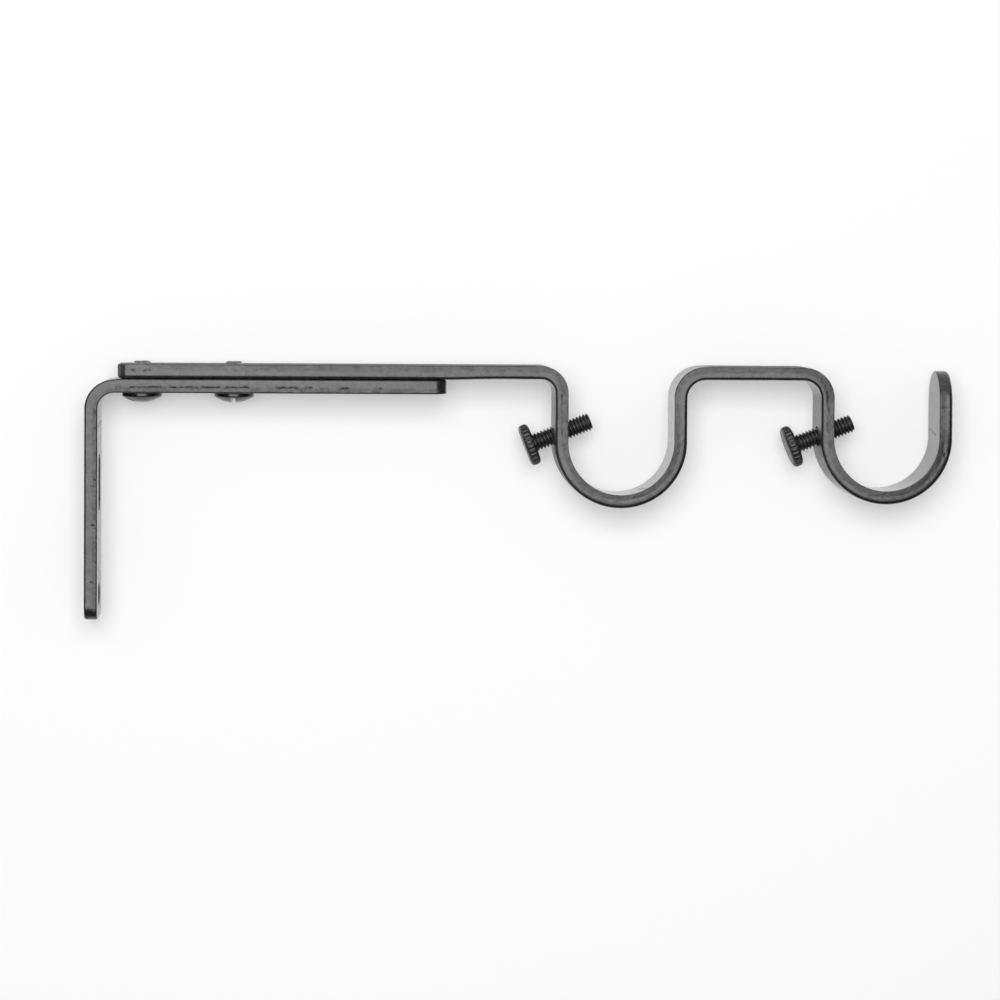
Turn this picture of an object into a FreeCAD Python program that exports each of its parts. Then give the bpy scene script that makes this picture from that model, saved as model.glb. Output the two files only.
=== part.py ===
import FreeCAD, Part
import Sketcher
import math
import os
import re

# Double curtain pole bracket of bent steel strap.
#
# Frame: the wall is the plane X = 0 and +X points away from it, +Z is up, Y = 0 is the middle of the
# straps. The origin is the centre of the round wall hole. The straps are drawn with their heights
# counted from the top of the wall bracket's arm, and every body is then lifted by wall_hole_drop.

DRIVING_SIZES = [
    # Strap stock
    ("strap_width", 15.0, "width of both straps, along Y"),
    ("strap_thick", 3.0, "thickness of both straps"),
    ("edge_round", 0.45, "rounding of the strap's long edges and ends"),
    ("end_corner", 2.2, "corner radius of the cut ends, seen on the flat"),
    # Wall bracket
    ("leg_drop", 54.3, "top of the arm to the lower end of the leg"),
    ("arm_reach", 81.5, "wall to the free end of the wall bracket's arm"),
    ("wall_bend_radius", 3.7, "inside radius of the bend between leg and arm"),
    ("wall_fix_width", 5.0, "width of the wall slot and diameter of the wall hole"),
    ("wall_slot_long", 13.0, "end-to-end length of the wall slot"),
    ("wall_slot_drop", 23.6, "top of the arm to the middle of the wall slot"),
    ("wall_hole_drop", 48.9, "top of the arm to the centre of the round wall hole"),
    # Sliding fit between the straps
    ("arm_gap", 0.5, "gap between the two straps"),
    ("slot_play", 0.3, "clearance of the adjusting slot round its screws"),
    ("slot_end_wall", 5.25, "metal left between the adjusting slot and the end of the arm"),
    # Cradle arm
    ("arm_start", 7.4, "wall to the near end of the cradle arm"),
    ("first_cradle_reach", 121.0, "wall to the centre of the first cradle"),
    ("cradle_pitch", 60.4, "centre of the first cradle to the centre of the second"),
    ("cradle_bore", 24.0, "inside width of both cradles"),
    ("first_cradle_depth", 29.1, "top of the arm to the floor of the first cradle"),
    ("second_cradle_depth", 28.0, "top of the bridge to the floor of the second cradle"),
    ("tip_rise", 27.2, "floor of the second cradle to the end of the tip"),
    ("fall_bend_radius", 3.2, "inside radius of the bend down into the first cradle"),
    ("rise_bend_radius", 4.2, "inside radius of the bend from the first cradle to the bridge"),
    ("drop_bend_radius", 4.0, "inside radius of the bend down into the second cradle"),
    # Threads, drawn as plain shanks and holes at the major diameter
    ("thread_dia", 4.1, "thread of all four screws"),
    ("thread_play", 0.05, "radial play of a screw in its tapped hole"),
    ("tip_chamfer", 0.4, "chamfer at the end of every screw"),
    # Adjusting screws
    ("first_screw_reach", 12.6, "wall to the first adjusting screw"),
    ("screw_pitch", 20.8, "first adjusting screw to the second"),
    ("screw_head_dia", 9.0, "diameter of the head"),
    ("screw_head_rim", 0.7, "height of the head's straight rim"),
    ("screw_head_high", 2.3, "full height of the head"),
    ("screw_head_corner", 0.35, "radius where the rim turns into the crown"),
    ("driver_slot_wide", 1.2, "width of the driver slot"),
    ("driver_slot_deep", 1.1, "depth of the driver slot"),
    ("screw_tip_proud", 0.6, "end of the adjusting screw above the cradle arm"),
    ("inner_slot_turn", 28.0, "turn of the inner screw's driver slot from X, in degrees"),
    ("outer_slot_turn", 90.0, "turn of the outer screw's driver slot from X, in degrees"),
    # Thumbscrews
    ("thumb_tilt", 21.5, "rise of the thumbscrews' axes towards the tip, in degrees"),
    ("thumb_drop", 15.4, "top of the strap to where the axis crosses the cradle's wall"),
    ("thumb_length", 13.7, "length of the thumbscrew under its head"),
    ("inner_tip_reach", 7.5, "middle of the first cradle's wall to the end of its thumbscrew"),
    ("outer_tip_reach", 7.1, "middle of the second cradle's wall to the end of its thumbscrew"),
    ("thumb_head_dia", 9.6, "diameter of the knurled head"),
    ("thumb_head_thick", 2.35, "thickness of the knurled head"),
    ("thumb_head_round", 0.9, "rounding of the knurled head's rims"),
    ("knurl_count", 26, "grooves round the head"),
    ("knurl_depth", 0.28, "depth of a groove"),
    ("knurl_width", 0.62, "width of a groove at the head's surface"),
]
ALIASES = [entry[0] for entry in DRIVING_SIZES]

# Heights from the top of the wall bracket's arm, and other sizes that several pieces share
ARM_TOP = "arm_gap + strap_thick"
HALF_WIDTH = "strap_width / 2"
CRADLE_RADIUS = "cradle_bore / 2"
SHANK_RADIUS = "thread_dia / 2"
TAPPED_RADIUS = "thread_dia / 2 + thread_play"
FIRST_WALL_REACH = "first_cradle_reach - cradle_bore / 2 - strap_thick / 2"
SECOND_WALL_REACH = FIRST_WALL_REACH + " + cradle_pitch"
THUMB_HEIGHT = ARM_TOP + " - thumb_drop"
TILT_FROM_Z = "90 - thumb_tilt"
WALL_ALONG_TAP = "strap_thick / cos(thumb_tilt) + (%s) * 2 * tan(thumb_tilt) + edge_round" % TAPPED_RADIUS
SECOND_SCREW_REACH = "first_screw_reach + screw_pitch"
SLOT_RADIUS = "thread_dia / 2 + slot_play"

START, END, CENTRE = range(1, 4)
H_AXIS, V_AXIS = -1, -2
ORIGIN = (-1, START)
UP = 90.0
QUARTER = 90.0
HALF_TURN = 180.0
FULL_TURN = 360.0
Y_AXIS = FreeCAD.Vector(0, 1, 0)
Z_AXIS = FreeCAD.Vector(0, 0, 1)

doc = FreeCAD.newDocument("curtain_pole_bracket")
sheet = doc.addObject("Spreadsheet::Sheet", "sizes")
for row, (alias, value, meaning) in enumerate(DRIVING_SIZES, start=1):
    sheet.set("A%d" % row, meaning)
    sheet.set("B%d" % row, str(value))
    sheet.setAlias("B%d" % row, alias)
doc.recompute()


def bound(formula):
    """The formula as an expression, with each driving size read from the sheet."""
    return re.sub(r"[a-z_]+", lambda word: "sizes." + word[0] if word[0] in ALIASES else word[0], formula)


def worth(formula):
    """The present value of a formula of driving sizes."""
    return float(sheet.evalExpression(bound(formula)))


# Features


def new_body(label):
    body = doc.addObject("PartDesign::Body", label)
    body.Label = label
    return body


def add_feature(body, kind, name, formulas=None, **values):
    """A feature of the body, with its sizes bound to formulas of the driving sizes."""
    feature = body.newObject("PartDesign::" + kind, name)
    for key, value in values.items():
        setattr(feature, key, value)
    for key, formula in (formulas or {}).items():
        feature.setExpression(key, bound(formula))
    doc.recompute()
    return feature


def origin_item(body, role):
    return next(item for item in body.Origin.OriginFeatures if item.Role == role)


def new_sketch(body, name, plane_role, turn=None, **offsets):
    """A sketch on one of the body's origin planes, moved off it by formulas if they are given.

    turn is an axis and the formula of an angle. offsets are formulas for x, y and z.
    """
    sketch = body.newObject("Sketcher::SketchObject", name)
    sketch.AttachmentSupport = (origin_item(body, plane_role), "")
    sketch.MapMode = "FlatFace"
    if turn:
        axis, angle = turn
        sketch.AttachmentOffset = FreeCAD.Placement(FreeCAD.Vector(), FreeCAD.Rotation(axis, worth(angle)))
        sketch.setExpression("AttachmentOffset.Rotation.Angle", bound(angle))
    for direction, formula in offsets.items():
        sketch.setExpression("AttachmentOffset.Base." + direction, bound(formula))
    return sketch


def place(body, x, z, turn=None):
    """Put the body in the part's frame. x and z are formulas, and turn is an axis and one more."""
    if turn:
        axis, angle = turn
        body.Placement = FreeCAD.Placement(FreeCAD.Vector(), FreeCAD.Rotation(axis, worth(angle)))
        body.setExpression("Placement.Rotation.Angle", bound(angle))
    body.setExpression("Placement.Base.x", bound(x))
    body.setExpression("Placement.Base.z", bound("wall_hole_drop + " + z))


# Sketch geometry and constraints


def line(sketch, start, end):
    return sketch.addGeometry(Part.LineSegment(FreeCAD.Vector(*start[:2]), FreeCAD.Vector(*end[:2])))


def arc(sketch, centre, radius, start_angle, end_angle):
    """An arc that runs anticlockwise from its start to its end, in degrees."""
    circle = Part.Circle(FreeCAD.Vector(*centre[:2]), Z_AXIS, radius)
    ends = math.radians(start_angle), math.radians(end_angle)
    return sketch.addGeometry(Part.ArcOfCircle(circle, *ends))


def tie(sketch, kind, *where):
    sketch.addConstraint(Sketcher.Constraint(kind, *where))


def dimension(sketch, name, formula, kind, *where):
    """A named dimension of the sketch, bound to the sheet."""
    index = sketch.addConstraint(Sketcher.Constraint(kind, *where, worth(formula)))
    sketch.renameConstraint(index, name)
    sketch.setExpression("Constraints." + name, bound(formula))


def pin_point(sketch, name, geometry, vertex, x, y):
    """Fix a point at x, y from the sketch's origin. Both are formulas, and 0 means on the axis."""
    for kind, letter, formula, axis in (("DistanceX", "x", x, V_AXIS), ("DistanceY", "y", y, H_AXIS)):
        if formula == "0":
            tie(sketch, "PointOnObject", geometry, vertex, axis)
        elif worth(formula) > 0:
            dimension(sketch, name + "_" + letter, formula, kind, *ORIGIN, geometry, vertex)
        else:
            dimension(sketch, name + "_" + letter, "-(%s)" % formula, kind, geometry, vertex, *ORIGIN)


def pinned_outline(sketch, corners):
    """Closed outline of straight lines through named corners, each with x and y as formulas."""
    points = [(worth(x), worth(y)) for name, x, y in corners]
    lines = [line(sketch, points[index - 1], points[index]) for index in range(len(points))]
    for index, (name, x, y) in enumerate(corners):
        tie(sketch, "Coincident", lines[index], END, lines[(index + 1) % len(lines)], START)
        pin_point(sketch, name, lines[index], END, x, y)
    return lines


def round_hole(sketch, name, radius, x="0", y="0"):
    middle = FreeCAD.Vector(worth(x), worth(y))
    circle = sketch.addGeometry(Part.Circle(middle, Z_AXIS, worth(radius)))
    dimension(sketch, name + "_radius", radius, "Radius", circle)
    if x == "0" and y == "0":
        tie(sketch, "Coincident", circle, CENTRE, *ORIGIN)
    else:
        pin_point(sketch, name, circle, CENTRE, x, y)


def slot_outline(sketch, name, radius, first, last):
    """A slot with round ends between two centres, given as pairs of formulas."""
    ends = [FreeCAD.Vector(worth(x), worth(y)) for x, y in (first, last)]
    run = ends[1] - ends[0]
    heading = math.degrees(math.atan2(run.y, run.x))
    reach = worth(radius)
    side = FreeCAD.Vector(-run.y, run.x).normalize() * reach
    far = arc(sketch, ends[1], reach, heading - QUARTER, heading + QUARTER)
    near = arc(sketch, ends[0], reach, heading + QUARTER, heading + QUARTER + HALF_TURN)
    left = line(sketch, ends[1] + side, ends[0] + side)
    right = line(sketch, ends[0] - side, ends[1] - side)
    tie(sketch, "Tangent", far, END, left, START)
    tie(sketch, "Tangent", left, END, near, START)
    tie(sketch, "Tangent", near, END, right, START)
    tie(sketch, "Tangent", right, END, far, START)
    tie(sketch, "Equal", near, far)
    dimension(sketch, name + "_radius", radius, "Radius", far)
    pin_point(sketch, name + "_first", near, CENTRE, *first)
    pin_point(sketch, name + "_last", far, CENTRE, *last)


# Bent strap, drawn from the side


class StrapSide:
    """Outline of a bent strap: straight runs joined by tangent bends, with both faces drawn.

    The pen starts at the middle of one end. A run is a pair of parallel lines, left and right of the
    pen, and a bend is a pair of arcs about one centre, so the thickness set at the first end holds
    all along the strap.
    """

    def __init__(self, sketch, start, heading):
        self.sketch = sketch
        self.pen = FreeCAD.Vector(*start)
        self.heading = heading
        self.half = worth("strap_thick") / 2
        self.runs = []
        self.bends = []
        self.open_ends = []

    def direction(self, turn=0.0):
        angle = math.radians(self.heading + turn)
        return FreeCAD.Vector(math.cos(angle), math.sin(angle))

    def join(self, pair, first_vertex, last_vertex):
        """Join a new left and right piece to the open ends of the strap."""
        for piece, (earlier, vertex) in zip(pair, self.open_ends):
            tie(self.sketch, "Tangent", earlier, vertex, piece, first_vertex)
        self.open_ends = [(piece, last_vertex) for piece in pair]

    def run(self, length):
        """A straight run along one of the sketch's axes."""
        side = self.direction(QUARTER) * self.half
        goal = self.pen + self.direction() * worth(length)
        pair = [line(self.sketch, self.pen + shift, goal + shift) for shift in (side, side * -1)]
        self.join(pair, START, END)
        for piece in pair:
            tie(self.sketch, "Vertical" if self.heading % HALF_TURN else "Horizontal", piece)
        self.runs.append(pair)
        self.pen = goal

    def bend(self, turn, inside_radius):
        """A bend by turn degrees, positive to the left."""
        towards_centre = math.copysign(QUARTER, turn)
        inner = worth(inside_radius)
        radii = [inner, inner + 2 * self.half]
        centre = self.pen + self.direction(towards_centre) * (inner + self.half)
        if turn > 0:
            sweep = (self.heading - QUARTER, self.heading - QUARTER + turn)
            vertices = (START, END)
        else:
            sweep = (self.heading + QUARTER + turn, self.heading + QUARTER)
            vertices = (END, START)
            radii.reverse()
        pair = [arc(self.sketch, centre, radius, *sweep) for radius in radii]
        self.join(pair, *vertices)
        tie(self.sketch, "Coincident", pair[0], CENTRE, pair[1], CENTRE)
        self.bends.append(pair)
        self.heading += turn
        self.pen = centre - self.direction(towards_centre) * (inner + self.half)

    def close(self):
        """Draw the line across each end of the strap and return both."""
        caps = []
        for pair, vertex in ((self.runs[0], START), (self.runs[-1], END)):
            left, right = [self.sketch.getPoint(piece, vertex) for piece in pair]
            cap = line(self.sketch, left, right)
            tie(self.sketch, "Coincident", cap, START, pair[0], vertex)
            tie(self.sketch, "Coincident", cap, END, pair[1], vertex)
            across = abs(left.x - right.x) > abs(left.y - right.y)
            tie(self.sketch, "Horizontal" if across else "Vertical", cap)
            caps.append(cap)
        return caps


def round_corners(body, name, blank, corners):
    """Round the corners of a cut end. corners are the middles of the edges across the thickness."""
    half = worth(HALF_WIDTH)
    places = [FreeCAD.Vector(worth(x), y, worth(z)) for x, z in corners for y in (-half, half)]
    edges = []
    for index, edge in enumerate(blank.Shape.Edges, start=1):
        if any(edge.CenterOfMass.isEqual(place, 1e-4) for place in places):
            edges.append("Edge%d" % index)
    return add_feature(body, "Fillet", name, {"Radius": "end_corner"}, Base=(blank, edges))


def break_edges(body, name, blank):
    return add_feature(body, "Fillet", name, {"Radius": "edge_round"}, Base=(blank, []), UseAllEdges=True)


# Wall bracket: leg on the wall, arm under the cradle arm


def build_wall_bracket():
    body = new_body("wall_bracket")
    side = new_sketch(body, "wall_bracket_side", "XZ_Plane")
    strap = StrapSide(side, (worth("strap_thick / 2"), worth("-leg_drop")), UP)
    strap.run("leg_drop - strap_thick - wall_bend_radius")
    strap.bend(-QUARTER, "wall_bend_radius")
    strap.run("arm_reach - strap_thick - wall_bend_radius")
    foot = strap.close()[0]
    wall_line, top_line = strap.runs[0][0], strap.runs[1][0]
    tie(side, "PointOnObject", wall_line, START, V_AXIS)
    tie(side, "PointOnObject", top_line, END, H_AXIS)
    dimension(side, "thick", "strap_thick", "DistanceX", foot, START, foot, END)
    dimension(side, "leg_drop", "leg_drop", "DistanceY", wall_line, START, *ORIGIN)
    dimension(side, "arm_reach", "arm_reach", "DistanceX", *ORIGIN, top_line, END)
    dimension(side, "bend_radius", "wall_bend_radius", "Radius", strap.bends[0][1])
    blank = add_feature(body, "Pad", "wall_bracket_blank", {"Length": "strap_width"}, Profile=side,
                        SideType="Symmetric")
    ends = [("strap_thick / 2", "-leg_drop"), ("arm_reach", "-strap_thick / 2")]
    cornered = round_corners(body, "wall_bracket_corners", blank, ends)
    break_edges(body, "wall_bracket_edges", cornered)

    holes = new_sketch(body, "wall_holes", "YZ_Plane")
    fix_radius = "wall_fix_width / 2"
    half_reach = "(wall_slot_long - wall_fix_width) / 2"
    round_hole(holes, "hole", fix_radius, y="-wall_hole_drop")
    slot_outline(holes, "slot", fix_radius, ("0", "-wall_slot_drop - " + half_reach),
                 ("0", "-wall_slot_drop + " + half_reach))
    add_feature(body, "Pocket", "wall_hole_cut", Profile=holes, Type="ThroughAll", Reversed=True)

    track = new_sketch(body, "adjusting_slot", "XY_Plane")
    slot_outline(track, "slot", SLOT_RADIUS, ("first_screw_reach", "0"),
                 ("arm_reach - slot_end_wall - (%s)" % SLOT_RADIUS, "0"))
    add_feature(body, "Pocket", "adjusting_slot_cut", Profile=track, Type="ThroughAll")
    place(body, "0", "0")


# Cradle arm: flat arm, two cradles with a bridge between them, round tip


def build_cradle_arm():
    body = new_body("cradle_arm")
    side = new_sketch(body, "cradle_arm_side", "XZ_Plane")
    strap = StrapSide(side, (worth("arm_start"), worth(ARM_TOP + " - strap_thick / 2")), 0.0)
    strap.run("first_cradle_reach - cradle_bore / 2 - strap_thick - fall_bend_radius - arm_start")
    strap.bend(-QUARTER, "fall_bend_radius")
    strap.run("first_cradle_depth - cradle_bore / 2 - strap_thick - fall_bend_radius")
    strap.bend(HALF_TURN, CRADLE_RADIUS)
    strap.run("first_cradle_depth - cradle_bore / 2 - strap_thick - rise_bend_radius")
    strap.bend(-QUARTER, "rise_bend_radius")
    strap.run("cradle_pitch - cradle_bore - 2 * strap_thick - rise_bend_radius - drop_bend_radius")
    strap.bend(-QUARTER, "drop_bend_radius")
    strap.run("second_cradle_depth - cradle_bore / 2 - strap_thick - drop_bend_radius")
    strap.bend(HALF_TURN, CRADLE_RADIUS)
    strap.run("tip_rise - cradle_bore / 2")
    near_end = strap.close()[0]
    arm_line, bridge_line, tip_line = strap.runs[0][0], strap.runs[3][0], strap.runs[5][0]
    first_cradle, second_cradle = strap.bends[1][0], strap.bends[4][0]
    tie(side, "Horizontal", arm_line, END, bridge_line, START)
    tie(side, "Equal", first_cradle, second_cradle)
    dimension(side, "thick", "strap_thick", "DistanceY", near_end, END, near_end, START)
    dimension(side, "start", "arm_start", "DistanceX", *ORIGIN, arm_line, START)
    dimension(side, "arm_top", ARM_TOP, "DistanceY", *ORIGIN, arm_line, START)
    dimension(side, "fall_radius", "fall_bend_radius", "Radius", strap.bends[0][1])
    dimension(side, "rise_radius", "rise_bend_radius", "Radius", strap.bends[2][1])
    dimension(side, "drop_radius", "drop_bend_radius", "Radius", strap.bends[3][1])
    dimension(side, "cradle_radius", CRADLE_RADIUS, "Radius", first_cradle)
    dimension(side, "first_reach", "first_cradle_reach", "DistanceX", *ORIGIN, first_cradle, CENTRE)
    dimension(side, "pitch", "cradle_pitch", "DistanceX", first_cradle, CENTRE, second_cradle, CENTRE)
    dimension(side, "first_depth", "first_cradle_depth - cradle_bore / 2", "DistanceY",
              first_cradle, CENTRE, arm_line, START)
    dimension(side, "second_depth", "second_cradle_depth - cradle_bore / 2", "DistanceY",
              second_cradle, CENTRE, arm_line, START)
    dimension(side, "tip_rise", "tip_rise - cradle_bore / 2", "DistanceY",
              second_cradle, CENTRE, tip_line, END)
    blank = add_feature(body, "Pad", "cradle_arm_blank", {"Length": "strap_width"}, Profile=side,
                        SideType="Symmetric")
    round_corners(body, "cradle_arm_corners", blank, [("arm_start", ARM_TOP + " - strap_thick / 2")])
    rounded = cut_round_tip(body)
    break_edges(body, "cradle_arm_edges", rounded)

    taps = new_sketch(body, "adjusting_taps", "XY_Plane")
    round_hole(taps, "first", TAPPED_RADIUS, x="first_screw_reach")
    round_hole(taps, "second", TAPPED_RADIUS, x=SECOND_SCREW_REACH)
    add_feature(body, "Pocket", "adjusting_tap_cut", Profile=taps, Type="ThroughAll", Reversed=True)
    for name, reach in (("inner", FIRST_WALL_REACH), ("outer", SECOND_WALL_REACH)):
        tap = new_sketch(body, name + "_thumb_tap", "XY_Plane", (Y_AXIS, TILT_FROM_Z), x=reach,
                         z=THUMB_HEIGHT)
        round_hole(tap, "tap", TAPPED_RADIUS)
        add_feature(body, "Pocket", name + "_thumb_tap_cut", {"Length": WALL_ALONG_TAP}, Profile=tap,
                    SideType="Symmetric")
    place(body, "0", "0")


def cut_round_tip(body):
    """Cut the end of the second cradle's outer wall to a half circle as wide as the strap."""
    tip_end = ARM_TOP + " - second_cradle_depth + tip_rise"
    spring = tip_end + " - strap_width / 2"
    margin = worth("strap_thick")
    outline = new_sketch(body, "tip_outline", "YZ_Plane", z="first_cradle_reach + cradle_pitch")
    half, low, high = worth(HALF_WIDTH), worth(spring), worth(tip_end)
    curve = arc(outline, (0, low), half, 0, HALF_TURN)
    path = [(-half, low), (-half - margin, low), (-half - margin, high + margin)]
    path += [(half + margin, high + margin), (half + margin, low), (half, low)]
    lines = [line(outline, path[index], path[index + 1]) for index in range(len(path) - 1)]
    for earlier, later in zip(lines, lines[1:]):
        tie(outline, "Coincident", earlier, END, later, START)
    tie(outline, "Coincident", curve, END, lines[0], START)
    tie(outline, "Coincident", lines[-1], END, curve, START)
    for index, kind in enumerate(("Horizontal", "Vertical", "Horizontal", "Vertical", "Horizontal")):
        tie(outline, kind, lines[index])
    tie(outline, "PointOnObject", curve, CENTRE, V_AXIS)
    tie(outline, "Horizontal", curve, END, curve, CENTRE)
    tie(outline, "Horizontal", curve, START, curve, CENTRE)
    tie(outline, "Equal", lines[0], lines[4])
    dimension(outline, "radius", HALF_WIDTH, "Radius", curve)
    dimension(outline, "clear_side", "strap_thick", "DistanceX", lines[0], END, lines[0], START)
    clear_top = "strap_width / 2 + strap_thick"
    dimension(outline, "clear_top", clear_top, "DistanceY", lines[1], START, lines[1], END)
    if low > 0:
        dimension(outline, "spring", spring, "DistanceY", *ORIGIN, curve, CENTRE)
    else:
        dimension(outline, "spring", "-(%s)" % spring, "DistanceY", curve, CENTRE, *ORIGIN)
    return add_feature(body, "Pocket", "tip_cut", Profile=outline, Type="ThroughAll", Reversed=True)


# Screws, each turned about its own Z axis with the head's bearing face at zero


def turned(body, name, sketch):
    axis = (sketch, ["V_Axis"])
    return add_feature(body, "Revolution", name, Profile=sketch, ReferenceAxis=axis, Angle=FULL_TURN)


def build_adjusting_screw(label, reach, slot_turn):
    body = new_body(label)
    shank_long = "2 * strap_thick + arm_gap + screw_tip_proud"
    head_radius = worth("screw_head_dia / 2")
    rim, high, corner = worth("screw_head_rim"), worth("screw_head_high"), worth("screw_head_corner")
    half = new_sketch(body, label + "_half", "XZ_Plane")
    points = [
        (0, -high),
        (0, worth(shank_long)),
        (worth(SHANK_RADIUS + " - tip_chamfer"), worth(shank_long)),
        (worth(SHANK_RADIUS), worth(shank_long + " - tip_chamfer")),
        (worth(SHANK_RADIUS), 0),
        (head_radius, 0),
        (head_radius, -rim),
    ]
    lines = [line(half, *pair) for pair in zip(points, points[1:])]
    for earlier, later in zip(lines, lines[1:]):
        tie(half, "Coincident", earlier, END, later, START)
    axis, end, chamfer, shank, bearing, rim_line = lines

    # The crown meets the corner arc where the line through both centres crosses them
    flat = head_radius - corner
    depth = high - rim
    crown = (flat ** 2 + depth ** 2 - corner ** 2) / (2 * (depth - corner))
    lean = math.degrees(math.atan2(flat, crown - depth))
    corner_arc = arc(half, (flat, -rim), corner, lean - QUARTER, 0)
    crown_arc = arc(half, (0, crown - high), crown, -QUARTER, lean - QUARTER)
    tie(half, "Tangent", rim_line, END, corner_arc, END)
    tie(half, "Tangent", corner_arc, START, crown_arc, END)
    tie(half, "Coincident", crown_arc, START, axis, START)
    tie(half, "PointOnObject", crown_arc, CENTRE, V_AXIS)
    tie(half, "PointOnObject", axis, START, V_AXIS)
    tie(half, "Vertical", axis)
    tie(half, "Horizontal", end)
    tie(half, "Vertical", shank)
    tie(half, "Vertical", rim_line)
    tie(half, "PointOnObject", bearing, START, H_AXIS)
    tie(half, "PointOnObject", bearing, END, H_AXIS)
    dimension(half, "high", "screw_head_high", "DistanceY", axis, START, *ORIGIN)
    dimension(half, "shank_long", shank_long, "DistanceY", *ORIGIN, axis, END)
    dimension(half, "shank_radius", SHANK_RADIUS, "DistanceX", *ORIGIN, bearing, START)
    dimension(half, "chamfer_x", "tip_chamfer", "DistanceX", chamfer, START, chamfer, END)
    dimension(half, "chamfer_y", "tip_chamfer", "DistanceY", chamfer, END, chamfer, START)
    dimension(half, "head_radius", "screw_head_dia / 2", "DistanceX", *ORIGIN, bearing, END)
    dimension(half, "rim", "screw_head_rim", "DistanceY", rim_line, END, rim_line, START)
    dimension(half, "corner", "screw_head_corner", "Radius", corner_arc)
    turned(body, label + "_turned", half)

    slot = new_sketch(body, label + "_slot", "XY_Plane", z="-screw_head_high")
    corners = [
        ("near_left", "-screw_head_dia", "-driver_slot_wide / 2"),
        ("near_right", "screw_head_dia", "-driver_slot_wide / 2"),
        ("far_right", "screw_head_dia", "driver_slot_wide / 2"),
        ("far_left", "-screw_head_dia", "driver_slot_wide / 2"),
    ]
    pinned_outline(slot, corners)
    add_feature(body, "Pocket", label + "_slot_cut", {"Length": "driver_slot_deep"}, Profile=slot,
                Reversed=True)
    place(body, reach, "-strap_thick", (Z_AXIS, slot_turn))


def build_thumbscrew(label, wall_reach, tip_reach):
    body = new_body(label)
    half = new_sketch(body, label + "_half", "XZ_Plane")
    head_radius = "thumb_head_dia / 2"
    corners = [
        ("head_middle", "0", "-thumb_head_thick"),
        ("head_outer", head_radius, "-thumb_head_thick"),
        ("head_inner", head_radius, "0"),
        ("neck", SHANK_RADIUS, "0"),
        ("chamfer_low", SHANK_RADIUS, "thumb_length - tip_chamfer"),
        ("chamfer_high", SHANK_RADIUS + " - tip_chamfer", "thumb_length"),
        ("tip", "0", "thumb_length"),
    ]
    pinned_outline(half, corners)
    blank = turned(body, label + "_turned", half)
    rims = []
    for index, edge in enumerate(blank.Shape.Edges, start=1):
        curve = edge.Curve
        if isinstance(curve, Part.Circle) and abs(curve.Radius - worth(head_radius)) < 1e-6:
            rims.append("Edge%d" % index)
    add_feature(body, "Fillet", label + "_rims", {"Radius": "thumb_head_round"}, Base=(blank, rims))

    # A groove has its full width at the head's surface and its walls run on past it
    groove = new_sketch(body, label + "_groove", "XY_Plane")
    corners = [
        ("root", head_radius + " - knurl_depth", "0"),
        ("right", head_radius + " + knurl_depth", "-knurl_width"),
        ("left", head_radius + " + knurl_depth", "knurl_width"),
    ]
    pinned_outline(groove, corners)
    cut = add_feature(body, "Pocket", label + "_groove_cut", {"Length": "thumb_head_thick"}, Profile=groove)
    knurl = add_feature(body, "PolarPattern", label + "_knurl", {"Occurrences": "knurl_count"},
                        Originals=[cut], Axis=(origin_item(body, "Z_Axis"), [""]), Angle=FULL_TURN)
    body.Tip = knurl
    x = wall_reach + " - (thumb_length - %s) * cos(thumb_tilt)" % tip_reach
    z = THUMB_HEIGHT + " - (thumb_length - %s) * sin(thumb_tilt)" % tip_reach
    place(body, x, z, (Y_AXIS, TILT_FROM_Z))


build_wall_bracket()
build_cradle_arm()
build_adjusting_screw("adjusting_screw_inner", "first_screw_reach", "inner_slot_turn")
build_adjusting_screw("adjusting_screw_outer", SECOND_SCREW_REACH, "outer_slot_turn")
build_thumbscrew("thumbscrew_inner", FIRST_WALL_REACH, "inner_tip_reach")
build_thumbscrew("thumbscrew_outer", SECOND_WALL_REACH, "outer_tip_reach")
doc.recompute()

for item in doc.Objects:
    if "Invalid" in item.State or "Error" in item.State:
        raise RuntimeError("%s is in state %s" % (item.Label, item.State))
    if item.TypeId == "Sketcher::SketchObject" and not item.FullyConstrained:
        raise RuntimeError("%s isn't fully constrained" % item.Label)

os.makedirs("parts", exist_ok=True)
for body in doc.findObjects("PartDesign::Body"):
    shape = body.Shape
    if shape.isNull() or not shape.isValid() or len(shape.Solids) != 1:
        raise RuntimeError("%s isn't one valid solid" % body.Label)
    shape.exportStep(os.path.join("parts", body.Label + ".step"))
    print(body.Label, "volume %.1f mm3" % shape.Volume, shape.BoundBox)
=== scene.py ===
"""Curtain pole bracket of bent steel strap on white paper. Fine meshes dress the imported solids."""
import math
import random

import bmesh
import bpy
import numpy as np
from mathutils import Matrix, Vector, noise


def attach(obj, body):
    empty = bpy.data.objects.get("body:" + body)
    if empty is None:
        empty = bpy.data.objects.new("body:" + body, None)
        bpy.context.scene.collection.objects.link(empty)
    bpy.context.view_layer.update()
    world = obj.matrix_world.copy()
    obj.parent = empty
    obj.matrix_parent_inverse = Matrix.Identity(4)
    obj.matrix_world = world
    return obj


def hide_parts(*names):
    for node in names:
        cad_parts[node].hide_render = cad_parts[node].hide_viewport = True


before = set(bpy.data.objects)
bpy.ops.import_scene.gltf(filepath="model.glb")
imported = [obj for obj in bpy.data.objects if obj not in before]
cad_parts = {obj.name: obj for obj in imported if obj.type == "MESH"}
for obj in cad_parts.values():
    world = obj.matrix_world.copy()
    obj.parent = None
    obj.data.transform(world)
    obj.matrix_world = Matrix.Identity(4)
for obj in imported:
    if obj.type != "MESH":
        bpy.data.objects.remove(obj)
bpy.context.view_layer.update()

# Sizes are in millimetres until a mesh, a lamp or the camera is made
MM = 0.001
WIDTH = 15.0
THICK = 3.0

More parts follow.
